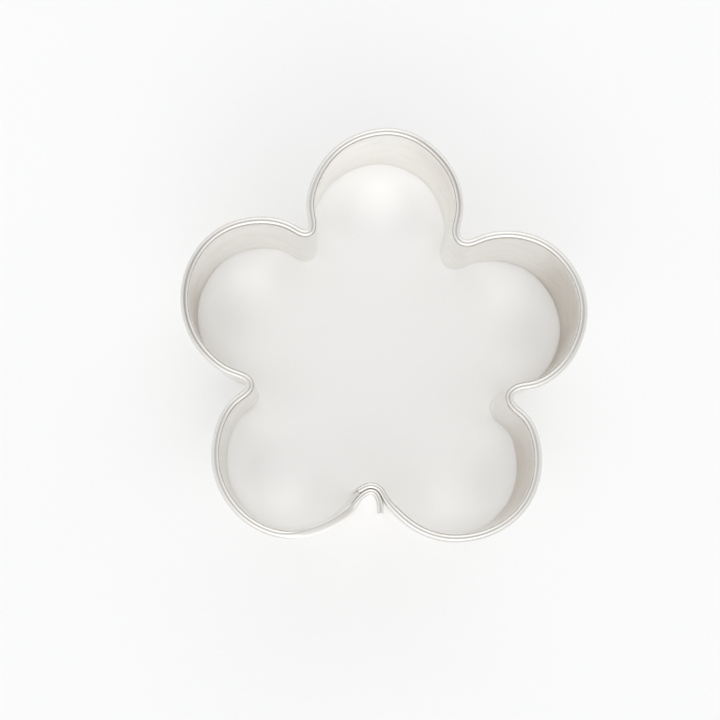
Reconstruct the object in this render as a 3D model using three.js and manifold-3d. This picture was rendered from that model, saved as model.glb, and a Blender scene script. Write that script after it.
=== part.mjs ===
// Cookie cutter: one strip of thin sheet metal bent on edge into a five-petal
// flower. The top edge is rolled over to the outside as a safe rim, the bottom
// edge is the plain sheared cutting edge, and the two ends of the strip lap at
// one notch, where the rim is pinched and two spot welds hold them together.
// Millimetres, +Z up. The cutting edge stands on z = 0, the origin is under the
// middle of the flower, and the lap is in the notch on the -Y side.
import * as THREE from 'three';
import { mergeVertices } from 'three/addons/utils/BufferGeometryUtils.js';
import Module from 'manifold-3d';

// ---- driving dimensions -------------------------------------------------
const HEIGHT = 22.0;        // cutting edge to the top of the folded rim
const SHEET = 0.30;         // sheet thickness
const RIM_HALF = 0.50;      // half the width of the rolled rim ...
const LAP_HALF = 0.36;      // ... and of the rim where it is pinched at the lap
const FOLD_GAP = 2 * (LAP_HALF - SHEET);    // clear slot inside the pinched rim
const RIM_DEPTH = 3.0;      // top of the rim to the lower edge of the folded leg
const HEM_CLOSE = 0.26;     // how far the folded leg leans back to the wall at its lower edge
const LAP_PRESS = 0.42;     // how far the outer layer is pressed in below the rim at the lap
const PRESS_TOP = 18.85;    // the pressed zone starts just under the folded leg ...
const PRESS_FULL = 14.5;    // ... and is fully in from here down to the cutting edge
const WELD_R = 0.60;        // weld nugget radius
const WELD_Z = { spot_weld_upper: 11.0, spot_weld_lower: 4.5 };
const WELD_DIMPLE = 0.03;   // how far a nugget's face lies under the sheet's face
const WELD_GAP = 0.05;      // clearance round a nugget
const STEP_MM = 2.8;        // longest step along the strip
const STEP_DEG = 12;        // largest turn in one step
const ARC_SIDES = 8;        // facets round the outside of the fold
const FIT = 0.9954;         // brings the traced line to 50.0 mm over the rim

// Middle line of the folded rim, seen from above: control points of one uniform
// cubic B-spline. It starts at the inner end of the lap, runs over the notch and
// counter-clockwise round the flower, and ends at the free outer end of the lap.
const LINE = [
  [-2.907, -19.4], [-2.223, -19.049], [-1.595, -18.588], [-0.88, -18.276],
  [-0.075, -18.386], [0.564, -18.851], [0.969, -19.597], [1.442, -20.32],
  [2.457, -21.385], [4.724, -23.26], [8.052, -24.394], [11.505, -24.179],
  [14.734, -23.001], [17.394, -20.822], [19.007, -17.778], [19.413, -14.275],
  [18.689, -11.019], [17.55, -9.312], [16.56, -8.662], [15.754, -7.939],
  [15.315, -6.935], [15.914, -6.058], [16.962, -5.627], [18.137, -5.489],
  [20.032, -4.766], [22.421, -2.5], [23.915, 0.721], [24.313, 4.119],
  [23.441, 7.442], [21.447, 10.266], [18.62, 12.276], [15.102, 12.879],
  [12.4, 12.449], [11.075, 11.864], [10.079, 11.376], [8.982, 11.401],
  [8.299, 12.249], [8.279, 13.353], [8.569, 14.449], [8.733, 16.269],
  [7.974, 19.369], [5.836, 22.172], [2.992, 24.203], [-0.316, 24.877],
  [-3.737, 24.052], [-6.627, 22.266], [-8.68, 19.336], [-9.546, 16.378],
  [-9.46, 14.518], [-9.073, 13.253], [-9.057, 11.921], [-10.099, 11.579],
  [-11.274, 12.23], [-12.566, 12.863], [-15.051, 13.241], [-18.483, 12.612],
  [-21.456, 10.759], [-23.401, 7.927], [-24.278, 4.584], [-23.997, 1.181],
  [-22.58, -2.044], [-20.212, -4.408], [-18.335, -5.408], [-17.091, -5.706],
  [-15.914, -6.185], [-15.518, -7.199], [-16.376, -8.108], [-17.363, -8.792],
  [-18.445, -10.071], [-19.498, -12.798], [-19.639, -16.36], [-18.563, -19.614],
  [-16.463, -22.345], [-13.555, -24.194], [-10.166, -24.899], [-6.756, -23.957],
  [-3.996, -22.36], [-2.768, -21.103], [-2.295, -20.238], [-1.727, -19.655],
  [-1.1, -19.123], [-0.269, -19.057], [0.257, -19.796], [0.509, -20.63],
  [0.599, -21.609], [0.54, -22.784],
].map(([x, y]) => [x * FIT, y * FIT]);
const LAP_CENTRE = [-0.678, -19.830];   // centre of the arch that the lap bends over
const LAP_AXIS_DEG = 77.7;              // direction of the welds, from that centre
// along the outer layer, measured back from its free end: where the pressed zone
// fades out towards the petal, where it is full, and how much is left at the end
const PRESS_RUN = { fade: 11.0, full: 4.9, ease: 1.2, atEnd: 0.55 };
// where the pinch of the rim fades, along the strip from its start and from its end
const PINCH_RUN = { start: [3.9, 6.2], end: [4.8, 7.4] };
// how far the foot of the wall stands inside a plumb line from the rim, along the strip
const LEAN = [
  [0, 0], [7, 0], [12, -0.22], [16, -0.38], [20, -0.40], [23, -0.24], [27, -0.09],
  [32, -0.05], [36, 0.02], [43, -0.05], [46, -0.12], [51, -0.23], [56, -0.11], [64, -0.02],
  [70, -0.04], [75, 0.06], [80, -0.06], [85, -0.40], [90, -0.24], [97, -0.41], [103, -0.30],
  [106.5, -0.05], [110, 0.12], [114, 0.02], [124, -0.01], [130, -0.06], [140, 0], [150, 0.08],
  [158, -0.05], [166, 0], [200, 0],
];

// ---- the strip's line ---------------------------------------------------
const SPANS = LINE.length - 3;

function linePoint(t) {
  const i = Math.min(SPANS - 1, Math.max(0, Math.floor(t)));
  const f = t - i;
  const w = [(1 - f) ** 3, 3 * f ** 3 - 6 * f * f + 4, -3 * f ** 3 + 3 * f * f + 3 * f + 1, f ** 3];
  const d = [-3 * (1 - f) ** 2, 9 * f * f - 12 * f, -9 * f * f + 6 * f + 3, 3 * f * f];
  const p = [0, 0], v = [0, 0];
  for (let k = 0; k < 4; k++) {
    for (let a = 0; a < 2; a++) {
      p[a] += LINE[i + k][a] * w[k] / 6;
      v[a] += LINE[i + k][a] * d[k] / 6;
    }
  }
  const l = Math.hypot(v[0], v[1]);
  return { p, tan: [v[0] / l, v[1] / l] };
}

// stations that are close together in the tight bends and wide apart on the petals
const FINE = 8000;
const table = { t: [], need: [0], run: [0] };
{
  let last = null;
  for (let k = 0; k <= FINE; k++) {
    const t = (SPANS * k) / FINE;
    const q = linePoint(t);
    table.t.push(t);
    if (last) {
      const ds = Math.hypot(q.p[0] - last.p[0], q.p[1] - last.p[1]);
      const turn = Math.abs(Math.atan2(last.tan[0] * q.tan[1] - last.tan[1] * q.tan[0],
        last.tan[0] * q.tan[0] + last.tan[1] * q.tan[1]));
      table.need.push(table.need[k - 1] + Math.hypot(ds / STEP_MM, turn / THREE.MathUtils.degToRad(STEP_DEG)));
      table.run.push(table.run[k - 1] + ds);
    }
    last = q;
  }
}
const STATIONS = Math.ceil(table.need[FINE]);
const LENGTH = table.run[FINE];

function lookup(key, value, out) {
  const a = table[key];
  let lo = 0, hi = FINE;
  while (hi - lo > 1) {
    const m = (lo + hi) >> 1;
    if (a[m] <= value) lo = m; else hi = m;
  }
  const f = (value - a[lo]) / (a[hi] - a[lo] || 1);
  return table[out][lo] + (table[out][hi] - table[out][lo]) * f;
}

class StripLine extends THREE.Curve {
  at(u) {
    return linePoint(lookup('need', Math.min(1, Math.max(0, u)) * table.need[FINE], 't'));
  }
  getPoint(u, target = new THREE.Vector3()) {
    const { p } = this.at(u);
    return target.set(p[0], p[1], 0);
  }
  getPointAt(u, target) { return this.getPoint(u, target); }
  getTangent(u, target = new THREE.Vector3()) {
    const { tan } = this.at(u);
    return target.set(tan[0], tan[1], 0);
  }
  getTangentAt(u, target) { return this.getTangent(u, target); }
}

// ---- section of the strip ----------------------------------------------
// The pinched section, as it is at the lap; the sweep is opened out afterwards.
// Shape x is down from z = 0 and shape y is towards the inside of the flower,
// which is how the sweep lays the section on the line.
const FOLD_Z = HEIGHT - LAP_HALF;

function stripSection() {
  const pts = [];
  const put = (out, z) => pts.push(new THREE.Vector2(-z, -out));
  const rows = [PRESS_FULL, (PRESS_FULL + PRESS_TOP) / 2, PRESS_TOP];
  put(-LAP_HALF, 0);                                        // inner face, upwards
  rows.forEach((z) => put(-LAP_HALF, z));
  for (let k = 0; k <= ARC_SIDES; k++) {                    // over the fold
    const a = Math.PI * (1 - k / ARC_SIDES);
    put(LAP_HALF * Math.cos(a), FOLD_Z + LAP_HALF * Math.sin(a));
  }
  put(LAP_HALF, HEIGHT - RIM_DEPTH);                        // down the folded leg
  put(FOLD_GAP / 2, HEIGHT - RIM_DEPTH);
  for (let k = 0; k <= 4; k++) {                            // inside the fold
    const a = Math.PI * (k / 4);
    put((FOLD_GAP / 2) * Math.cos(a), FOLD_Z + (FOLD_GAP / 2) * Math.sin(a));
  }
  rows.slice().reverse().forEach((z) => put(-FOLD_GAP / 2, z));
  put(-FOLD_GAP / 2, 0);                                    // outer face, down to the edge
  return new THREE.Shape(pts);
}

// ---- solids -------------------------------------------------------------
const wasm = await Module();
wasm.setup();

function bare(geometry) {
  const g = geometry.clone();
  g.deleteAttribute('normal');
  g.deleteAttribute('uv');
  return mergeVertices(g, 1e-5);
}

function toSolid(geometry) {
  const g = bare(geometry);
  return new wasm.Manifold(new wasm.Mesh({
    numProp: 3,
    vertProperties: new Float32Array(g.attributes.position.array),
    triVerts: new Uint32Array(g.index.array),
  }));
}

function toGeometry(solid) {
  const m = solid.getMesh();
  const g = new THREE.BufferGeometry();
  const xyz = new Float32Array(m.numVert * 3);
  for (let i = 0; i < m.numVert; i++) {
    for (let a = 0; a < 3; a++) xyz[i * 3 + a] = m.vertProperties[i * m.numProp + a];
  }
  g.setAttribute('position', new THREE.BufferAttribute(xyz, 3));
  g.setIndex(new THREE.BufferAttribute(new Uint32Array(m.triVerts), 1));
  g.computeVertexNormals();
  return g;
}

// how far the outer layer of the lap is pressed inwards, by its distance from the
// free end of the strip and by height
function pressed(fromEnd, z) {
  const s = THREE.MathUtils.smoothstep;
  let along = 0;
  if (fromEnd < PRESS_RUN.fade) {
    along = 1 - s(fromEnd, PRESS_RUN.full, PRESS_RUN.fade);
    along *= PRESS_RUN.atEnd + (1 - PRESS_RUN.atEnd) * s(fromEnd, 0, PRESS_RUN.ease);
  }
  return LAP_PRESS * along * (1 - s(z, PRESS_FULL, PRESS_TOP));
}

// how much wider the rim is on each side than at the pinched lap
function widening(run) {
  const s = THREE.MathUtils.smoothstep;
  return (RIM_HALF - LAP_HALF) * s(run, ...PINCH_RUN.start) * s(LENGTH - run, ...PINCH_RUN.end);
}

function leanAt(run) {
  let k = 0;
  while (k < LEAN.length - 2 && run > LEAN[k + 1][0]) k++;
  const f = THREE.MathUtils.smoothstep(run, LEAN[k][0], LEAN[k + 1][0]);
  return LEAN[k][1] + (LEAN[k + 1][1] - LEAN[k][1]) * f;
}

// where a point of the pinched section goes at a distance along the strip
function shaped(out, z, run) {
  const wide = widening(run);
  let o = out, h = z;
  if (z > FOLD_Z - 1e-4) {                      // round the fold, its top staying level
    const a = Math.atan2(z - FOLD_Z, out), rho = Math.hypot(out, z - FOLD_Z) + wide;
    o = rho * Math.cos(a);
    h = FOLD_Z - wide + rho * Math.sin(a);
  } else if (out > 0) {                         // lower edge of the folded leg
    o = out + wide - HEM_CLOSE * wide / (RIM_HALF - LAP_HALF);
  } else {                                      // wall
    o = out - wide - pressed(LENGTH - run, z);
  }
  return [o - leanAt(run) * (1 - Math.min(h, FOLD_Z) / FOLD_Z), h];
}

const line = new StripLine();
const stations = [];
for (let i = 0; i <= STATIONS; i++) {
  const u = i / STATIONS;
  const q = line.at(u);
  stations.push({ p: q.p, tan: q.tan, run: lookup('need', u * table.need[FINE], 'run') });
}

function sweepStrip() {
  const swept = bare(new THREE.ExtrudeGeometry(stripSection(), { steps: STATIONS, extrudePath: line, bevelEnabled: false }));
  const pos = swept.attributes.position;
  let lost = 0;
  for (let k = 0; k < pos.count; k++) {
    const st = stations.find(({ p, tan }) => {
      const dx = pos.getX(k) - p[0], dy = pos.getY(k) - p[1];
      return Math.abs(dx * tan[0] + dy * tan[1]) < 1e-4 && Math.abs(dy * tan[0] - dx * tan[1]) < LAP_HALF + 1e-3;
    });
    if (!st) { lost++; continue; }
    const out = (pos.getX(k) - st.p[0]) * st.tan[1] - (pos.getY(k) - st.p[1]) * st.tan[0];
    const [o, h] = shaped(out, pos.getZ(k), st.run);
    pos.setXYZ(k, st.p[0] + st.tan[1] * o, st.p[1] - st.tan[0] * o, h);
  }
  if (lost) throw new Error(`${lost} points of the sweep lie on no station`);
  return toSolid(swept);
}

// a round bar through both layers of the lap, along the weld direction
function weldBar(radius, z) {
  const g = new THREE.CylinderGeometry(radius, radius, 1.6, 16);
  const a = THREE.MathUtils.degToRad(LAP_AXIS_DEG);
  g.rotateZ(a - Math.PI / 2);
  g.translate(LAP_CENTRE[0] + 1.6 * Math.cos(a), LAP_CENTRE[1] + 1.6 * Math.sin(a), z);
  return toSolid(g);
}

// the thickness of both layers over the arch, from the inner face of the inner
// layer to the outer face of the pressed outer layer, each face set in by the dimple
function lapSlab(z) {
  const inner = [], outer = [];
  const SIDES = 10;
  for (let k = 0; k <= SIDES; k++) {
    const a = linePoint(lookup('run', 0.55 + (2.5 * k) / SIDES, 't'));
    const setIn = LAP_HALF - WELD_DIMPLE;
    inner.push([a.p[0] - a.tan[1] * setIn, a.p[1] + a.tan[0] * setIn]);
    const b = linePoint(lookup('run', LENGTH - 4.3 + (2.3 * k) / SIDES, 't'));
    const setOut = FOLD_GAP / 2 + LAP_PRESS + WELD_DIMPLE;
    outer.push([b.p[0] - b.tan[1] * setOut, b.p[1] + b.tan[0] * setOut]);
  }
  const ring = inner.concat(outer.reverse()).map(([x, y]) => new THREE.Vector2(x, y));
  const g = new THREE.ExtrudeGeometry(new THREE.Shape(ring), { depth: 2 * WELD_R + 0.4, bevelEnabled: false, steps: 1 });
  g.translate(0, 0, z - WELD_R - 0.2);
  return toSolid(g);
}

let strip = sweepStrip();
for (const z of Object.values(WELD_Z)) strip = strip.subtract(weldBar(WELD_R + WELD_GAP, z));

// ---- the cutter ---------------------------------------------------------
const cutter = new THREE.Group();

const sheetMetal = new THREE.MeshStandardMaterial({ color: 0xd8d5cd, roughness: 0.28, metalness: 1.0 });
const stripMesh = new THREE.Mesh(toGeometry(strip), sheetMetal);
stripMesh.name = 'cutter_strip';
cutter.add(stripMesh);

for (const [name, z] of Object.entries(WELD_Z)) {
  const weldMetal = new THREE.MeshStandardMaterial({ color: 0xa9a49a, roughness: 0.45, metalness: 1.0 });
  const weld = new THREE.Mesh(toGeometry(weldBar(WELD_R, z).intersect(lapSlab(z))), weldMetal);
  weld.name = name;
  cutter.add(weld);
}

export default cutter;
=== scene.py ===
"""Looks of the cookie cutter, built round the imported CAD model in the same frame.

The strip is one sheet bent on edge into a five-petal flower, its top edge folded
over to the outside as a safe rim and its two ends lapped and spot-welded at one
notch. Working units below are millimetres; meshes are written in metres.
"""

import math

import bpy
import bmesh
import numpy as np
from mathutils import Matrix, Vector


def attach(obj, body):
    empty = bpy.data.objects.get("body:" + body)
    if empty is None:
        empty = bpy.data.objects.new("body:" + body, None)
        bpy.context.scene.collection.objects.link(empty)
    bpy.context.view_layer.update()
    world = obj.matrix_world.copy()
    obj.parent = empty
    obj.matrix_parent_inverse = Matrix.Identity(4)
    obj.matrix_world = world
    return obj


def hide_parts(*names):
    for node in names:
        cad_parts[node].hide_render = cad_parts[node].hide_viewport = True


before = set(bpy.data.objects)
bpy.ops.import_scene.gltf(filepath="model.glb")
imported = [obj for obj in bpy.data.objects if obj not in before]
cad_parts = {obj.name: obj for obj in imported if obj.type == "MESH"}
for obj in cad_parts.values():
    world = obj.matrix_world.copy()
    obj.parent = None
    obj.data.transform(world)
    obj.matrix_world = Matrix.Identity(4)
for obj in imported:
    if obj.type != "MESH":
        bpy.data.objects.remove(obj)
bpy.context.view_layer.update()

MM = 0.001

# ---- the strip's line and section, as in the CAD model ----------------------
HEIGHT = 22.0
SHEET = 0.30
RIM_HALF = 0.50         # half the width of the rolled rim ...
LAP_HALF = 0.36         # ... and of the rim where it is pinched at the lap
FOLD_GAP = 2 * (LAP_HALF - SHEET)
RIM_DEPTH = 3.0
HEM_CLOSE = 0.26        # how far the folded leg leans back to the wall at its lower edge
PINCH = (3.9, 6.2, 4.8, 7.4)    # where the pinch fades, from the strip's start and from its end
FOLD_Z = HEIGHT - LAP_HALF
LAP_PRESS = 0.42
PRESS_TOP = 18.85
PRESS_FULL = 14.5
PRESS_FADE, PRESS_LONG, PRESS_EASE, PRESS_END = 11.0, 4.9, 1.2, 0.55
WELD_R = 0.60
WELDS = (("spot_weld_upper", 11.0), ("spot_weld_lower", 4.5))
LAP_CENTRE = (-0.678, -19.830)
LAP_AXIS_DEG = 77.7
FIT = 0.9954            # brings the traced line to 50.0 mm over the rim

LINE = FIT * np.array([
    (-2.907, -19.4), (-2.223, -19.049), (-1.595, -18.588), (-0.88, -18.276),
    (-0.075, -18.386), (0.564, -18.851), (0.969, -19.597), (1.442, -20.32),
    (2.457, -21.385), (4.724, -23.26), (8.052, -24.394), (11.505, -24.179),
    (14.734, -23.001), (17.394, -20.822), (19.007, -17.778), (19.413, -14.275),
    (18.689, -11.019), (17.55, -9.312), (16.56, -8.662), (15.754, -7.939),
    (15.315, -6.935), (15.914, -6.058), (16.962, -5.627), (18.137, -5.489),
    (20.032, -4.766), (22.421, -2.5), (23.915, 0.721), (24.313, 4.119),
    (23.441, 7.442), (21.447, 10.266), (18.62, 12.276), (15.102, 12.879),
    (12.4, 12.449), (11.075, 11.864), (10.079, 11.376), (8.982, 11.401),
    (8.299, 12.249), (8.279, 13.353), (8.569, 14.449), (8.733, 16.269),
    (7.974, 19.369), (5.836, 22.172), (2.992, 24.203), (-0.316, 24.877),
    (-3.737, 24.052), (-6.627, 22.266), (-8.68, 19.336), (-9.546, 16.378),
    (-9.46, 14.518), (-9.073, 13.253), (-9.057, 11.921), (-10.099, 11.579),
    (-11.274, 12.23), (-12.566, 12.863), (-15.051, 13.241), (-18.483, 12.612),
    (-21.456, 10.759), (-23.401, 7.927), (-24.278, 4.584), (-23.997, 1.181),
    (-22.58, -2.044), (-20.212, -4.408), (-18.335, -5.408), (-17.091, -5.706),
    (-15.914, -6.185), (-15.518, -7.199), (-16.376, -8.108), (-17.363, -8.792),
    (-18.445, -10.071), (-19.498, -12.798), (-19.639, -16.36), (-18.563, -19.614),
    (-16.463, -22.345), (-13.555, -24.194), (-10.166, -24.899), (-6.756, -23.957),
    (-3.996, -22.36), (-2.768, -21.103), (-2.295, -20.238), (-1.727, -19.655),
    (-1.1, -19.123), (-0.269, -19.057), (0.257, -19.796), (0.509, -20.63),
    (0.599, -21.609), (0.54, -22.784),
])
SPANS = len(LINE) - 3


def smooth(x, a, b):
    t = np.clip((np.asarray(x, float) - a) / (b - a), 0.0, 1.0)
    return t * t * (3.0 - 2.0 * t)


def line_at(t):
    """Points and unit tangents of the strip's middle line at parameters t."""
    t = np.asarray(t, float)
    i = np.clip(np.floor(t).astype(int), 0, SPANS - 1)
    f = (t - i)[:, None]
    w = ((1 - f) ** 3, 3 * f ** 3 - 6 * f * f + 4, -3 * f ** 3 + 3 * f * f + 3 * f + 1, f ** 3)
    d = (-3 * (1 - f) ** 2, 9 * f * f - 12 * f, -9 * f * f + 6 * f + 3, 3 * f * f)
    p = sum(LINE[i + k] * w[k] for k in range(4)) / 6
    v = sum(LINE[i + k] * d[k] for k in range(4)) / 6
    return p, v / np.linalg.norm(v, axis=1, keepdims=True)


FINE_T = np.linspace(0.0, SPANS, 40001)
FINE_P, FINE_TAN = line_at(FINE_T)
FINE_DS = np.linalg.norm(np.diff(FINE_P, axis=0), axis=1)
FINE_S = np.concatenate([[0.0], np.cumsum(FINE_DS)])
LENGTH = float(FINE_S[-1])


def at_run(s):
    """Points and tangents at distances s along the strip."""
    return line_at(np.interp(s, FINE_S, FINE_T))


def widening(s):
    """How much wider the rim is on each side than at the pinched lap."""
    return (RIM_HALF - LAP_HALF) * smooth(s, PINCH[0], PINCH[1]) * smooth(LENGTH - s, PINCH[2], PINCH[3])


def press(from_end, z):
    """How far the outer layer of the lap is pressed inwards."""
    along = (1 - smooth(from_end, PRESS_LONG, PRESS_FADE)) * (
        PRESS_END + (1 - PRESS_END) * smooth(from_end, 0.0, PRESS_EASE))
    return LAP_PRESS * along * (1 - smooth(z, PRESS_FULL, PRESS_TOP))


def weld_runs():
    """Distances along the strip where the weld axis crosses the inner and the outer layer."""
    a = math.radians(LAP_AXIS_DEG)
    centre, axis = np.array(LAP_CENTRE), np.array([math.cos(a), math.sin(a)])
    rel = FINE_P - centre
    off = np.abs(rel[:, 0] * axis[1] - rel[:, 1] * axis[0])
    near = (rel @ axis > 0) & (np.linalg.norm(rel, axis=1) < 3)
    first = near & (FINE_S < 8)
    last = near & (FINE_S > LENGTH - 9)
    return (float(FINE_S[np.where(first)[0][np.argmin(off[first])]]),
            float(FINE_S[np.where(last)[0][np.argmin(off[last])]]))


WELD_IN, WELD_OUT = weld_runs()


def stations():
    """Distances along the strip: close in the tight bends and round the welds."""
    turn = np.abs(np.arctan2(
        FINE_TAN[:-1, 0] * FINE_TAN[1:, 1] - FINE_TAN[:-1, 1] * FINE_TAN[1:, 0],
        (FINE_TAN[:-1] * FINE_TAN[1:]).sum(1)))
    need = np.hypot(FINE_DS / 0.62, turn / math.radians(3.3))
    mid = (FINE_S[:-1] + FINE_S[1:]) / 2
    for c in (WELD_IN, WELD_OUT):
        need = np.where(np.abs(mid - c) < 1.05, np.maximum(need, FINE_DS / 0.10), need)
    total = np.concatenate([[0.0], np.cumsum(need)])
    count = int(math.ceil(total[-1]))
    s = np.interp(np.linspace(0, total[-1], count + 1), total, FINE_S)
    near_end = np.array([0.0, 0.035, 0.08])
    return np.concatenate([near_end, s[(s > 0.15) & (s < LENGTH - 0.15)], LENGTH - near_end[::-1]])


def lean_at(s):
    """Lean of the wall at distances s, eased between the listed places."""
    k = np.clip(np.searchsorted(LEAN[:, 0], s, side="right") - 1, 0, len(LEAN) - 2)
    ease = smooth((s - LEAN[k, 0]) / (LEAN[k + 1, 0] - LEAN[k, 0]), 0.0, 1.0)
    return LEAN[k, 1] + (LEAN[k + 1, 1] - LEAN[k, 1]) * ease


def waves(s, z, table):
    """Sum of gentle waves along the strip, each drifting a little with height."""
    out = np.zeros(np.broadcast(s, z).shape)
    for length, size, phase, drift in table:
        out = out + size * np.sin(2 * math.pi * s / length + phase + drift * z)
    return out


# hand-bent unevenness of the wall, in mm: wavelength, size, phase, drift with height
WALL_WAVES = ((23.7, 0.030, 0.4, 0.020), (13.1, 0.022, 2.1, -0.045), (7.3, 0.012, 4.4, 0.060),
              (4.1, 0.0055, 1.3, -0.080), (2.3, 0.0022, 5.2, 0.110))
LEG_WAVES = ((31.0, 0.55, 0.9, 0.0), (11.7, 0.30, 3.3, 0.0), (5.3, 0.15, 1.1, 0.0))

# how far the foot of the wall stands inside a plumb line from the rim, in mm, along the strip
LEAN = np.array([
    (0.0, 0.0), (7.0, 0.0), (12.0, -0.22), (16.0, -0.38), (20.0, -0.40), (23.0, -0.24), (27.0, -0.09),
    (32.0, -0.05), (36.0, 0.02), (43.0, -0.05), (46.0, -0.12), (51.0, -0.23), (56.0, -0.11), (64.0, -0.02),
    (70.0, -0.04), (75.0, 0.06), (80.0, -0.06), (85.0, -0.40), (90.0, -0.24), (97.0, -0.41), (103.0, -0.30),
    (106.5, -0.05), (110.0, 0.12), (114.0, 0.02), (124.0, -0.01), (130.0, -0.06), (140.0, 0.0), (150.0, 0.08),
    (158.0, -0.05), (166.0, 0.0), (LENGTH, 0.0)])

# on the flank that runs into the lap the roll is flattened outwards: how far its crest lies inside the strip's
# line in mm, the slope of its outer side and how fast that grows per mm, and the runs it fades over
FLANK_SHIFT, FLANK_SLOPE, FLANK_CURVE, FLANK_IN, FLANK_OUT = 0.45, 0.078, 0.072, (166.5, 171.0), (4.8, 6.4)
LAP_DROP = 0.24         # in the lap the two rolls are squashed against each other, so their facing sides drop less
# patches where the inside of the sheet is darkened and yellowed, partly a thin film and partly painted shade and dark
# reflection, the foot column a painted contact shadow: place along the strip, half length in mm, and strength along
# the foot, low on the wall and under the rim
FILM_AND_SHADE = ((26.8, 8.4, 0.0, 0.42, 0.38), (46.5, 5.6, 0.0, 0.68, 0.34), (56.0, 5.2, 0.08, 0.40, 0.42), (61.0, 5.5, 0.20, 0.0, 0.0),
        (83.0, 5.5, 0.0, 0.04, 0.20), (125.5, 4.2, 0.27, 0.09, 0.0), (135.0, 7.4, 0.20, 0.78, 0.50), (157.0, 5.5, 0.0, 0.14, 0.14))

# stretches where the top of the roll is darkened, partly rubbed dull and partly a painted dark reflection on the
# crest: place along the strip, half length in mm, strength
RUBBED_AND_SHADED_CREST = ((54.0, 6.0, 0.10), (82.0, 7.0, 0.50), (106.0, 4.0, 0.12), (118.0, 5.0, 0.15), (130.5, 8.0, 0.50))

FOOT_R = 0.045      # rounding of the sheared edges
FOLD_SIDES = 16
WALL_ROWS = np.concatenate([
    [0.12, 0.45, 1.1, 2.0, 2.9], np.arange(3.5, 5.55, 0.2), [6.0, 7.0, 8.1, 9.2],
    np.arange(10.0, 12.05, 0.2), [12.7, 13.6, 14.5, 15.5, 16.5, 17.5, 18.3, 18.85, 19.6, 20.5, 21.2, 21.5]])

INNER, FOLD, LEG, LEG_EDGE, SLOT, OUTER, FOOT = range(7)


def section():
    """The pinched section as one closed loop: out, z, zone, and radius and angle round the fold where it bends."""
    pts = []
    r = FOOT_R

    def arc(cx, cz, rad, a0, a1, n, zone):
        bends = zone in (FOLD, SLOT)
        for k in range(n + 1):
            a = math.radians(a0 + (a1 - a0) * k / n)
            pts.append((cx + rad * math.cos(a), cz + rad * math.sin(a), zone, rad if bends else 0.0, a))

    def rows(out, heights, zone):
        pts.extend((out, z, zone, 0.0, 0.0) for z in heights)

    low = HEIGHT - RIM_DEPTH
    arc(-LAP_HALF + r, r, r, 270, 180, 3, FOOT)
    rows(-LAP_HALF, WALL_ROWS, INNER)
    arc(0, FOLD_Z, LAP_HALF, 180, 0, FOLD_SIDES, FOLD)
    rows(LAP_HALF, (21.4, 20.9, 20.3, 19.7, 19.3, low + 0.12), LEG)
    arc(LAP_HALF - r, low + r, r, 360, 270, 3, LEG_EDGE)
    arc(FOLD_GAP / 2 + r, low + r, r, 270, 180, 3, LEG_EDGE)
    rows(FOLD_GAP / 2, (low + 0.12, 19.6, 20.4, 21.2), SLOT)
    arc(0, FOLD_Z, FOLD_GAP / 2, 0, 180, 6, SLOT)
    rows(-FOLD_GAP / 2, WALL_ROWS[::-1], OUTER)
    arc(-FOLD_GAP / 2 - r, r, r, 0, -90, 3, FOOT)
    n, z, zone, rho, ang = (np.array(c, float) for c in zip(*pts))
    return n, z, zone.astype(int), rho, ang


def dimple(ds, dz):
    """Depth of the electrode's print in the sheet round a weld."""
    rho = np.hypot(ds, dz)
    return 0.045 * (1 - smooth(rho, 0.50, 0.82)) - 0.006 * np.exp(-((rho - 0.90) / 0.09) ** 2)


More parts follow.
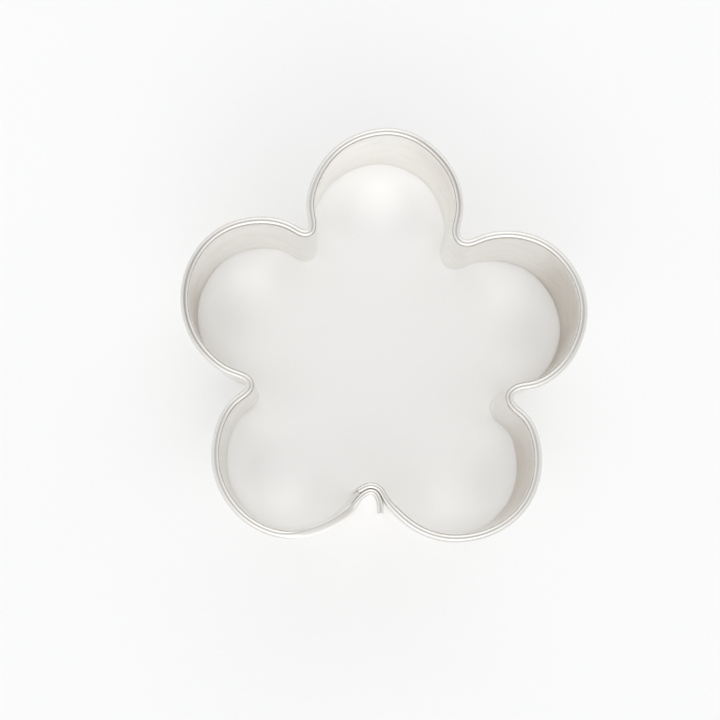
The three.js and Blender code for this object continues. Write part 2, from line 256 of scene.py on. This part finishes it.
def strip_mesh():
    n0, z0, zone, rho, ang = section()
    s = stations()
    p, tan = at_run(s)
    out = np.stack([tan[:, 1], -tan[:, 0]], 1)
    S = s[:, None]
    lap = smooth(s, 4.0, 8.0) * smooth(LENGTH - s, 5.0, 10.0)
    clear = lap[:, None]
    from_end = LENGTH - S

    # the rim opens out away from the lap, its top staying level
    wide = widening(s)[:, None]
    leg = np.isin(zone, (LEG, LEG_EDGE)) | ((zone == SLOT) & (n0 > 0) & (rho == 0))
    still = np.where(leg, HEIGHT - RIM_DEPTH, PRESS_TOP)
    Z = z0 - wide * np.clip((z0 - still) / (FOLD_Z - still), 0, 1)
    Z = np.where(rho > 0, FOLD_Z - wide + (rho + wide) * np.sin(ang), Z)
    N = np.where(rho > 0, (rho + wide) * np.cos(ang), n0 + np.where(n0 < 0, -wide, wide))
    # the roll's own shape: squashed where the layers face each other, flattened outwards on the flank beside the lap
    flank = (smooth(s, *FLANK_IN) * smooth(LENGTH - s, *FLANK_OUT))[:, None]
    across, above = np.cos(ang), np.sin(ang)
    half = LAP_HALF + wide
    crest = -FLANK_SHIFT * flank
    outward = half + (LAP_DROP - half) * (1 - smooth(S, 4.0, 5.6))
    inward = half + (LAP_DROP - half) * (1 - smooth(from_end, 4.4, 6.0))
    N = np.where(zone == FOLD, crest + np.where(across > 0, half - crest, half + crest) * across, N)
    drop = np.where(across > 0, outward, inward) * (1 - above)
    reach = np.clip(across, 0, 1) * (half - crest)
    flat = FLANK_SLOPE * reach + FLANK_CURVE * reach ** 2 + 0.04 * np.clip(across, 0, 1) ** 40
    Z = np.where(zone == FOLD, HEIGHT - np.where(across > 0, drop + (flat - drop) * flank, drop), Z)

    # the folded leg leans back to the wall, unevenly, and its sheared edge wanders
    down = np.clip((FOLD_Z - z0) / (RIM_DEPTH - LAP_HALF), 0, 1)
    close = HEM_CLOSE * wide / (RIM_HALF - LAP_HALF) - 0.035 * waves(S, 0.0, LEG_WAVES) * clear
    N = N - np.where(leg, close * down ** 1.3, 0.0)
    Z = Z + np.where(leg, 0.055 * waves(S, 1.7, LEG_WAVES) * clear * down ** 3, 0.0)

    # uneven wall, stiffest at the rim
    N = N + waves(S, Z, WALL_WAVES) * clear * (1.0 - 0.75 * smooth(Z, 8.0, HEIGHT))
    N = N - lean_at(s)[:, None] * (1 - np.clip(Z, 0, FOLD_Z) / FOLD_Z)

    # the lap: outer layer pressed in below the rim, and the electrodes' prints
    wall = np.isin(zone, (INNER, OUTER, FOOT))
    N = N - np.where(wall, press(from_end, Z), 0.0)
    for _, zw in WELDS:
        N = N + np.where((zone == INNER)[None, :], dimple(S - WELD_IN, Z - zw), 0.0)
        N = N - np.where((zone == OUTER)[None, :], dimple(S - WELD_OUT, Z - zw), 0.0)

    # chamfered ends: the first and last rings are drawn in
    step_n = np.roll(n0, -1) - np.roll(n0, 1)
    step_z = np.roll(z0, -1) - np.roll(z0, 1)
    length = np.hypot(step_n, step_z)
    for row in (0, -1):
        N[row] += 0.03 * step_z / length
        Z[row] -= 0.03 * step_n / length
    xyz = np.empty(N.shape + (3,))
    xyz[..., :2] = p[:, None, :] + out[:, None, :] * N[..., None]
    xyz[..., 2] = np.maximum(Z, 0.0)

    rows, cols = N.shape
    unrolled = np.concatenate([[0.0], np.cumsum(np.hypot(np.diff(n0), np.diff(z0)))])
    closing = unrolled[-1] + math.hypot(n0[0] - n0[-1], z0[0] - z0[-1])

    mesh = bpy.data.meshes.new("cutter_strip_sheet")
    idx = np.arange(rows * cols).reshape(rows, cols)
    nxt = np.roll(idx, -1, axis=1)
    quads = np.stack([idx[:-1], idx[1:], nxt[1:], nxt[:-1]], -1).reshape(-1, 4)
    caps = [list(map(int, idx[0])), list(map(int, idx[-1][::-1]))]
    faces = [list(map(int, q)) for q in quads] + caps
    mesh.from_pydata((xyz.reshape(-1, 3) * MM).tolist(), [], faces)
    mesh.validate()

    # maps: distances on the flat sheet in mm for the finish, and a packed one for baking
    mm_map = mesh.uv_layers.new(name="strip_mm")
    bake_map = mesh.uv_layers.new(name="OFBake")
    half = int(np.searchsorted(s, LENGTH / 2))
    cells = (rows - 1) * cols
    r_i = np.repeat(np.arange(rows - 1), cols)
    c_i = np.tile(np.arange(cols), rows - 1)
    s_a, s_b = s[r_i], s[r_i + 1]
    v_a, v_b = unrolled[c_i], np.append(unrolled[1:], closing)[c_i]
    u_mm = np.stack([s_a, s_b, s_b, s_a], 1)
    v_mm = np.stack([v_a, v_a, v_b, v_b], 1)
    second = (r_i >= half)[:, None]
    base = np.where(second, s[half], 0.0)
    span = np.where(second, LENGTH - s[half], s[half])
    u_b = 0.01 + 0.965 * (u_mm - base) / span
    v_b2 = np.where(second, 0.505, 0.005) + 0.485 * v_mm / closing
    flat = np.stack([u_mm, v_mm], -1).reshape(-1, 2)
    pack = np.stack([u_b, v_b2], -1).reshape(-1, 2)
    for row, ring in ((0, idx[0]), (rows - 1, idx[-1][::-1])):
        nn, zz = (N[row], Z[row]) if row == 0 else (N[row][::-1], Z[row][::-1])
        flat = np.concatenate([flat, np.stack([s[row] + nn, zz], -1)])
        pack = np.concatenate([pack, np.stack([(0.982 if row == 0 else 0.991) + 0.008 * (nn + 0.4) / 1.2,
                                               0.01 + 0.4 * zz / HEIGHT], -1)])
    mm_map.data.foreach_set("uv", flat.astype(np.float32).ravel())
    bake_map.data.foreach_set("uv", pack.astype(np.float32).ravel())

    # painted by distance: heat round the welds, sheared edges, the bend of the fold, and painted shade in the closed
    # slot
    heat = np.zeros(N.shape)
    for _, zw in WELDS:
        heat = np.maximum(heat, np.exp(-(np.hypot(S - WELD_IN, Z - zw) / 1.25) ** 2))
        heat = np.maximum(heat, np.exp(-(np.hypot(S - WELD_OUT, Z - zw) / 1.25) ** 2))
    cut = np.isin(zone, (LEG_EDGE, FOOT)).astype(float)[None, :] + 0 * S
    bend = np.where(zone == FOLD, np.sin(np.clip((z0 - FOLD_Z) / LAP_HALF, 0, 1) * math.pi / 2), 0.0) * (1 - 0.8 * flank)
    slot = np.where(zone == SLOT, 1.0, np.where((zone == OUTER) & (z0 > 18.6), smooth(z0, 18.6, 19.4), 0.0))[None, :] + 0 * S
    # painted shade where the free end parts from the layer under it, on the two sides that face each other: a nearly
    # black wedge drawn into the colour where the gap lies in shadow
    inside = np.where((zone == INNER) | ((zone == FOLD) & (ang > math.pi / 2)), 1.0, 0.0)
    facing = np.where(np.isin(zone, (LEG, LEG_EDGE)) | ((zone == FOLD) & (ang < math.pi / 2)), 1.0, 0.0)
    painted_gap_shade = np.maximum(inside * smooth(from_end, 0.5, 1.2) * (1 - smooth(from_end, 1.9, 2.5)),
                       0.85 * facing * smooth(S, 3.2, 3.7) * (1 - smooth(S, 4.1, 4.7)))
    painted_gap_shade = np.maximum(painted_gap_shade, 0.5 * inside * smooth(from_end, 3.6, 4.2) * (1 - smooth(from_end, 4.7, 6.3)))
    painted_gap_shade = painted_gap_shade * smooth(Z, 14.0, 20.0) * (1 - smooth(Z, 21.70, 21.85))
    # and a painted shadow line along the roll, just past the end of the inner layer
    painted_gap_shade = np.maximum(painted_gap_shade, np.where((zone == FOLD) & (ang > math.pi / 2), 0.80, 0.0) * (1 - smooth(Z, 21.86, 21.94))
                       * smooth(from_end, 4.1, 4.5) * (1 - smooth(from_end, 5.3, 5.9)))
    # the walls' darker patches: painted shade and dark reflection laid on as a film, with a painted contact shadow low
    # at the foot
    film_and_shade = sum(np.exp(-((S - place) / reach) ** 4) * (
        top + (low - top) * (1 - smooth(Z, 5.0, 19.0)) + edge * (1 - smooth(Z, 0.5, 2.4)))
        for place, reach, edge, low, top in FILM_AND_SHADE)
    film_and_shade = film_and_shade * inside * (1 - smooth(Z, 20.6, 21.6))
    # painted dark reflection: the outer half of the roll on the flank beside the lap darkened and yellowed, most
    # towards the lap
    film_and_shade = np.maximum(film_and_shade, np.where((zone == FOLD) & (ang < math.pi / 2), (0.35 + 0.50 * smooth(S, 172.5, 176.5)) * flank, 0.0))
    # the crest of the roll darkened in stretches: rubbed dull metal and a painted dark reflection
    rubbed_and_shaded_crest = np.where(zone == FOLD, np.exp(-(across / 0.36) ** 2), 0.0) * sum(
        size * np.exp(-((S - place) / reach) ** 4) for place, reach, size in RUBBED_AND_SHADED_CREST)
    for name, field in (("heat", heat), ("cut_edge", cut), ("bend", bend), ("slot_depth", slot),
                        ("painted_gap_shade", painted_gap_shade), ("film_and_shade", film_and_shade), ("rubbed_and_shaded_crest", rubbed_and_shaded_crest)):
        attr = mesh.attributes.new(name, "FLOAT", "POINT")
        attr.data.foreach_set("value", field.astype(np.float32).ravel())

    bm = bmesh.new()
    bm.from_mesh(mesh)
    bm.faces.ensure_lookup_table()
    for f in bm.faces:
        f.smooth = True
    ends = [bm.faces[cells], bm.faces[cells + 1]]
    for f in ends:
        f.smooth = False
        for e in f.edges:
            e.smooth = False
    bmesh.ops.triangulate(bm, faces=ends, ngon_method="EAR_CLIP")
    if bm.calc_volume(signed=True) < 0:
        bmesh.ops.reverse_faces(bm, faces=bm.faces)
    bm.to_mesh(mesh)
    bm.free()
    mesh.update()
    return mesh


def weld_mesh(name, zw):
    """A weld nugget through both layers, with the electrode's print on each face."""
    bm = bmesh.new()
    rings, spokes = 9, 40
    rad = np.linspace(0.0, WELD_R, rings + 1)

    def depth(rho):
        # dished middle, slightly raised collar, edge drawn under the sheet's surface
        return 0.040 - 0.012 * math.exp(-((rho - 0.44) / 0.10) ** 2) + 0.010 * math.exp(-(rho / 0.2) ** 2) \
            + 0.02 * max(0.0, (rho - 0.54) / 0.06)

    def face_point(side, rho, phi):
        ds, dz = rho * math.cos(phi), rho * math.sin(phi)
        uneven = 0.003 * math.sin(3 * phi + 1.1 * zw) * (rho / WELD_R)
        if side == 0:
            p, t = at_run(np.array([WELD_IN + ds]))
            off = -LAP_HALF + depth(rho) + uneven
        else:
            s_here = WELD_OUT + ds
            p, t = at_run(np.array([s_here]))
            off = -FOLD_GAP / 2 - float(press(np.array([LENGTH - s_here]), np.array([zw + dz]))[0]) - depth(rho) - uneven
        x = p[0, 0] + t[0, 1] * off
        y = p[0, 1] - t[0, 0] * off
        return Vector((x, y, zw + dz)) * MM

    loops = []
    for side in (0, 1):
        centre = bm.verts.new(face_point(side, 0.0, 0.0))
        grid = [[bm.verts.new(face_point(side, r, 2 * math.pi * k / spokes)) for k in range(spokes)] for r in rad[1:]]
        for k in range(spokes):
            j = (k + 1) % spokes
            bm.faces.new((centre, grid[0][k], grid[0][j]))
            for a, b in zip(grid[:-1], grid[1:]):
                bm.faces.new((a[k], b[k], b[j], a[j]))
        loops.append(grid[-1])
    for k in range(spokes):
        j = (k + 1) % spokes
        bm.faces.new((loops[0][k], loops[1][k], loops[1][j], loops[0][j]))
    bmesh.ops.recalc_face_normals(bm, faces=bm.faces)
    for f in bm.faces:
        f.smooth = True
    for ring in loops:
        for k in range(spokes):
            e = bm.edges.get((ring[k], ring[(k + 1) % spokes]))
            e.smooth = False
    mesh = bpy.data.meshes.new(name)
    bm.to_mesh(mesh)
    bm.free()
    return mesh


# ---- materials --------------------------------------------------------------
class Nodes:
    """Short hand for building a node tree."""

    def __init__(self, tree):
        self.tree = tree
        tree.nodes.clear()

    def add(self, kind, inputs=None, **props):
        node = self.tree.nodes.new(kind)
        for k, v in props.items():
            setattr(node, k, v)
        for k, v in (inputs or {}).items():
            sock = node.inputs[k]
            if isinstance(v, bpy.types.NodeSocket):
                self.tree.links.new(v, sock)
            else:
                sock.default_value = v
        return node

    def math(self, op, a, b=None, c=None, clamp=False):
        ins = {0: a}
        if b is not None:
            ins[1] = b
        if c is not None:
            ins[2] = c
        return self.add("ShaderNodeMath", ins, operation=op, use_clamp=clamp).outputs[0]

    def range(self, x, a, b, c, d):
        return self.add("ShaderNodeMapRange", {"Value": x, "From Min": a, "From Max": b, "To Min": c, "To Max": d}).outputs["Result"]

    def mix(self, fac, a, b, blend="MIX"):
        node = self.add("ShaderNodeMix", data_type="RGBA", blend_type=blend)
        for sock, v in ((node.inputs["Factor"], fac), (node.inputs[6], a), (node.inputs[7], b)):
            if isinstance(v, bpy.types.NodeSocket):
                self.tree.links.new(v, sock)
            else:
                sock.default_value = v
        return node.outputs[2]

    def attribute(self, name):
        return self.add("ShaderNodeAttribute", attribute_name=name).outputs["Fac"]

    def noise(self, vec, scale, detail=2.0, rough=0.5, distortion=0.0):
        return self.add("ShaderNodeTexNoise", {"Vector": vec, "Scale": scale, "Detail": detail, "Roughness": rough,
                                               "Distortion": distortion}).outputs[0]

    def scaled(self, vec, scale, rotate=0.0):
        return self.add("ShaderNodeMapping", {"Vector": vec, "Rotation": (0, 0, rotate), "Scale": scale}).outputs[0]


def sheet_metal():
    mat = bpy.data.materials.new("bright_rolled_sheet")
    mat.use_nodes = True
    nd = Nodes(mat.node_tree)
    uv = nd.add("ShaderNodeUVMap", uv_map="strip_mm").outputs[0]
    obj = nd.add("ShaderNodeTexCoord").outputs["Object"]

    # rolling grain: fine lines along the strip, at two widths
    grain_fine = nd.noise(nd.scaled(uv, (0.10, 9.0, 1.0)), 1.0, 3.0, 0.6)
    grain_wide = nd.noise(nd.scaled(uv, (0.045, 1.6, 1.0)), 1.0, 2.0, 0.5)
    # faint cross marks left by the bending rollers
    cross = nd.noise(nd.scaled(uv, (1.3, 0.03, 1.0)), 1.0, 2.0, 0.55)
    # handling smudges and a cloudy tin bloom
    smudge = nd.noise(obj, 260.0, 4.0, 0.60, 0.15)
    cloud = nd.noise(obj, 70.0, 2.0, 0.5)
    # hairline scratches, most of them along the strip
    hair_a = nd.noise(nd.scaled(uv, (0.16, 21.0, 1.0), 0.02), 1.0, 0.0)
    hair_b = nd.noise(nd.scaled(uv, (0.22, 15.0, 1.0), 0.42), 1.0, 0.0)
    hair_a = nd.range(hair_a, 0.74, 0.80, 0.0, 1.0)
    hair_b = nd.range(hair_b, 0.79, 0.84, 0.0, 0.8)
    hair = nd.math("MAXIMUM", hair_a, hair_b)

    heat = nd.attribute("heat")
    cut = nd.attribute("cut_edge")
    bend = nd.attribute("bend")
    slot = nd.attribute("slot_depth")
    painted_gap_shade = nd.attribute("painted_gap_shade")
    film_and_shade = nd.attribute("film_and_shade")
    rubbed_and_shaded_crest = nd.attribute("rubbed_and_shaded_crest")

    tone = nd.add("ShaderNodeValToRGB", {"Fac": nd.math("ADD", nd.math("MULTIPLY", grain_wide, 0.5), nd.math("MULTIPLY", cloud, 0.5))})
    tone.color_ramp.elements[0].position, tone.color_ramp.elements[0].color = 0.32, (0.826, 0.815, 0.792, 1)
    tone.color_ramp.elements[1].position, tone.color_ramp.elements[1].color = 0.68, (0.912, 0.904, 0.885, 1)
    col = tone.outputs[0]
    col = nd.mix(nd.math("MULTIPLY", nd.range(smudge, 0.50, 0.72, 0.0, 1.0), 0.24), col, (0.74, 0.715, 0.67, 1))
    col = nd.mix(nd.math("MULTIPLY", hair, 0.12), col, (0.93, 0.92, 0.90, 1))
    # darker, yellowish patches, browner still at a glancing angle, partly a thin film and partly painted shade and
    # dark reflection; and the roll of the rim, duller from being worked
    film_and_shade = nd.math("MULTIPLY", film_and_shade, nd.range(cloud, 0.3, 0.7, 0.85, 1.0))
    col = nd.mix(film_and_shade, col, nd.mix(1.0, col, (0.88, 0.855, 0.82, 1), "MULTIPLY"))
    edge_tint = nd.mix(film_and_shade, (0.975, 0.967, 0.952, 1), (0.52, 0.45, 0.37, 1))
    col = nd.mix(nd.math("MULTIPLY", bend, 0.92), col, nd.mix(1.0, col, (0.89, 0.88, 0.865, 1), "MULTIPLY"))
    # the top of the roll darkened in stretches: rubbed dull metal and a painted dark reflection on the crest line
    col = nd.mix(rubbed_and_shaded_crest, col, nd.mix(1.0, col, (0.45, 0.435, 0.41, 1), "MULTIPLY"))
    straw = nd.add("ShaderNodeValToRGB", {"Fac": heat})
    ramp = straw.color_ramp
    ramp.elements[0].position, ramp.elements[0].color = 0.10, (1.0, 1.0, 1.0, 1)
    ramp.elements[1].position, ramp.elements[1].color = 0.95, (0.62, 0.60, 0.66, 1)
    for pos, c in ((0.35, (0.97, 0.89, 0.70, 1)), (0.58, (0.85, 0.68, 0.48, 1)), (0.78, (0.60, 0.54, 0.58, 1))):
        e = ramp.elements.new(pos)
        e.color = c
    col = nd.mix(nd.math("MULTIPLY", nd.range(smudge, 0.3, 0.7, 0.45, 0.85), 1.0), col, nd.mix(1.0, col, straw.outputs[0], "MULTIPLY"))
    col = nd.mix(nd.math("MULTIPLY", cut, 0.35), col, (0.66, 0.64, 0.61, 1))
    # painted shade inside the closed slot of the fold, where little light gets in
    col = nd.mix(nd.math("MULTIPLY", slot, 0.45), col, (0.40, 0.38, 0.34, 1))
    # painted shade: the gap between the lap's layers drawn nearly black
    col = nd.mix(nd.math("MULTIPLY", painted_gap_shade, nd.range(smudge, 0.3, 0.7, 0.80, 0.95)), col, (0.075, 0.068, 0.058, 1))

    rough = nd.math("ADD", 0.155, nd.math("MULTIPLY", nd.math("SUBTRACT", grain_fine, 0.5), 0.14))
    rough = nd.math("ADD", rough, nd.math("MULTIPLY", nd.math("SUBTRACT", grain_wide, 0.5), 0.10))
    rough = nd.math("ADD", rough, nd.math("MULTIPLY", nd.range(smudge, 0.45, 0.75, 0.0, 1.0), 0.10))
    rough = nd.math("ADD", rough, nd.math("MULTIPLY", bend, 0.08))
    rough = nd.math("ADD", rough, nd.math("MULTIPLY", heat, 0.14))
    rough = nd.math("ADD", rough, nd.math("MULTIPLY", cut, 0.20))
    rough = nd.math("ADD", rough, nd.math("MULTIPLY", slot, 0.15), clamp=True)

    height = nd.math("ADD", nd.math("MULTIPLY", grain_fine, 0.55), nd.math("MULTIPLY", cross, 0.9))
    height = nd.math("SUBTRACT", height, nd.math("MULTIPLY", hair, 0.35))
    bump = nd.add("ShaderNodeBump", {"Height": height, "Strength": 0.5, "Distance": 0.000004})
    shader = nd.add("ShaderNodeBsdfPrincipled", {"Base Color": col, "Metallic": 1.0, "Roughness": rough,
                                                 "Normal": bump.outputs[0], "Specular Tint": edge_tint})
    nd.add("ShaderNodeOutputMaterial", {"Surface": shader.outputs[0]})
    return mat


def weld_metal():
    mat = bpy.data.materials.new("weld_nugget")
    mat.use_nodes = True
    nd = Nodes(mat.node_tree)
    obj = nd.add("ShaderNodeTexCoord").outputs["Object"]
    cells = nd.add("ShaderNodeTexVoronoi", {"Vector": obj, "Scale": 9000.0, "Randomness": 1.0})
    speck = nd.noise(obj, 5200.0, 4.0, 0.65)
    cloud = nd.noise(obj, 1500.0, 2.0, 0.5)
    tone = nd.add("ShaderNodeValToRGB", {"Fac": nd.math("ADD", nd.math("MULTIPLY", speck, 0.6), nd.math("MULTIPLY", cloud, 0.4))})
    ramp = tone.color_ramp
    ramp.elements[0].position, ramp.elements[0].color = 0.32, (0.36, 0.335, 0.31, 1)
    ramp.elements[1].position, ramp.elements[1].color = 0.68, (0.64, 0.615, 0.58, 1)
    e = ramp.elements.new(0.5)
    e.color = (0.52, 0.48, 0.44, 1)
    rough = nd.range(speck, 0.3, 0.7, 0.34, 0.58)
    height = nd.math("ADD", nd.math("MULTIPLY", speck, 0.7), nd.math("MULTIPLY", cells.outputs["Distance"], 0.5))
    bump = nd.add("ShaderNodeBump", {"Height": height, "Strength": 0.5, "Distance": 0.00002})
    shader = nd.add("ShaderNodeBsdfPrincipled", {"Base Color": tone.outputs[0], "Metallic": 1.0, "Roughness": rough,
                                                 "Normal": bump.outputs[0]})
    nd.add("ShaderNodeOutputMaterial", {"Surface": shader.outputs[0]})
    return mat


def floor_paper():
    mat = bpy.data.materials.new("pale_floor")
    mat.use_nodes = True
    nd = Nodes(mat.node_tree)
    obj = nd.add("ShaderNodeTexCoord").outputs["Object"]
    fibre = nd.noise(obj, 1400.0, 4.0, 0.6)
    cloud = nd.noise(obj, 18.0, 2.0, 0.5)
    col = nd.mix(nd.range(cloud, 0.3, 0.7, 0.0, 1.0), (0.893, 0.896, 0.899, 1), (0.907, 0.909, 0.911, 1))
    bump = nd.add("ShaderNodeBump", {"Height": fibre, "Strength": 0.12, "Distance": 0.00002})
    shader = nd.add("ShaderNodeBsdfPrincipled", {"Base Color": col, "Roughness": 0.85, "Normal": bump.outputs[0],
                                                 "Specular IOR Level": 0.2})
    nd.add("ShaderNodeOutputMaterial", {"Surface": shader.outputs[0]})
    return mat


# ---- pieces -----------------------------------------------------------------
def place(name, mesh, material):
    o = bpy.data.objects.new(name, mesh)
    bpy.context.scene.collection.objects.link(o)
    mesh.materials.append(material)
    return o


sheet = sheet_metal()
strip = place("strip_sheet", strip_mesh(), sheet)
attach(strip, "root")
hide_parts("cutter_strip")

nugget = weld_metal()
for node, z_weld in WELDS:
    piece = place(node + "_nugget", weld_mesh(node + "_nugget", z_weld), nugget)
    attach(piece, "root")
    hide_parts(node)

# ---- floor, light and camera --------------------------------------------------
floor_mesh = bpy.data.meshes.new("floor")
floor_mesh.from_pydata([(-4, -4, 0), (4, -4, 0), (4, 4, 0), (-4, 4, 0)], [], [(0, 1, 2, 3)])
floor = place("floor", floor_mesh, floor_paper())

# soft light all round in three rings, strongest at the back and the front, with the zenith left dim:
# azimuth and elevation in degrees, tightness, strength
AMBIENT = 0.0
SOFT_LIGHTS = [(45.0 * k, el, 8.0, strength) for el, ring in (
    (6.0, (0.41, 0.40, 0.39, 0.35, 0.42, 0.32, 0.29, 0.29)),
    (28.0, (0.38, 0.51, 0.58, 0.41, 0.44, 0.41, 0.63, 0.40)),
    (50.0, (0.06, 0.34, 0.61, 0.31, 0.13, 0.40, 0.78, 0.54)),
) for k, strength in enumerate(ring)] + [(0.0, 90.0, 8.0, 0.04)]


def studio():
    world = bpy.data.worlds.new("studio")
    bpy.context.scene.world = world
    world.use_nodes = True
    nd = Nodes(world.node_tree)
    ray = nd.add("ShaderNodeTexCoord").outputs["Generated"]
    level = None
    for az, el, tight, strength in SOFT_LIGHTS:
        a, e = math.radians(az), math.radians(el)
        axis = (math.cos(a) * math.cos(e), math.sin(a) * math.cos(e), math.sin(e))
        dot = nd.add("ShaderNodeVectorMath", {0: ray, 1: axis}, operation="DOT_PRODUCT").outputs["Value"]
        lobe = nd.math("EXPONENT", nd.math("MULTIPLY_ADD", dot, tight, -tight))
        level = nd.math("MULTIPLY_ADD", lobe, strength, AMBIENT if level is None else level)
    back = nd.add("ShaderNodeBackground", {"Color": (1.0, 1.0, 1.0, 1), "Strength": level})
    nd.add("ShaderNodeOutputWorld", {"Surface": back.outputs[0]})
    return world


studio()

cam = bpy.data.cameras.new("camera")
cam.sensor_width = 36.0
cam.lens = 104.1436
cam.clip_start, cam.clip_end = 0.01, 20.0
camera = bpy.data.objects.new("camera", cam)
bpy.context.scene.collection.objects.link(camera)
right = Vector((0.99884, 0.04186, 0.02373)).normalized()
ahead = Vector((0.02035, 0.07951, -0.99663)).normalized()
up = right.cross(ahead).normalized()
right = ahead.cross(up).normalized()
camera.matrix_world = Matrix((
    (right.x, up.x, -ahead.x, -7.730 * MM),
    (right.y, up.y, -ahead.y, -23.164 * MM),
    (right.z, up.z, -ahead.z, 270.457 * MM),
    (0, 0, 0, 1)))
bpy.context.scene.camera = camera
bpy.context.scene.view_settings.view_transform = "Standard"
bpy.context.scene.view_settings.look = "None"
# the bright patches on the floor are light mirrored by the walls, so indirect gloss isn't blurred, and light
# goes to and fro between the walls many times
bpy.context.scene.cycles.blur_glossy = 0.0
bpy.context.scene.cycles.max_bounces = 16
bpy.context.scene.cycles.glossy_bounces = 14
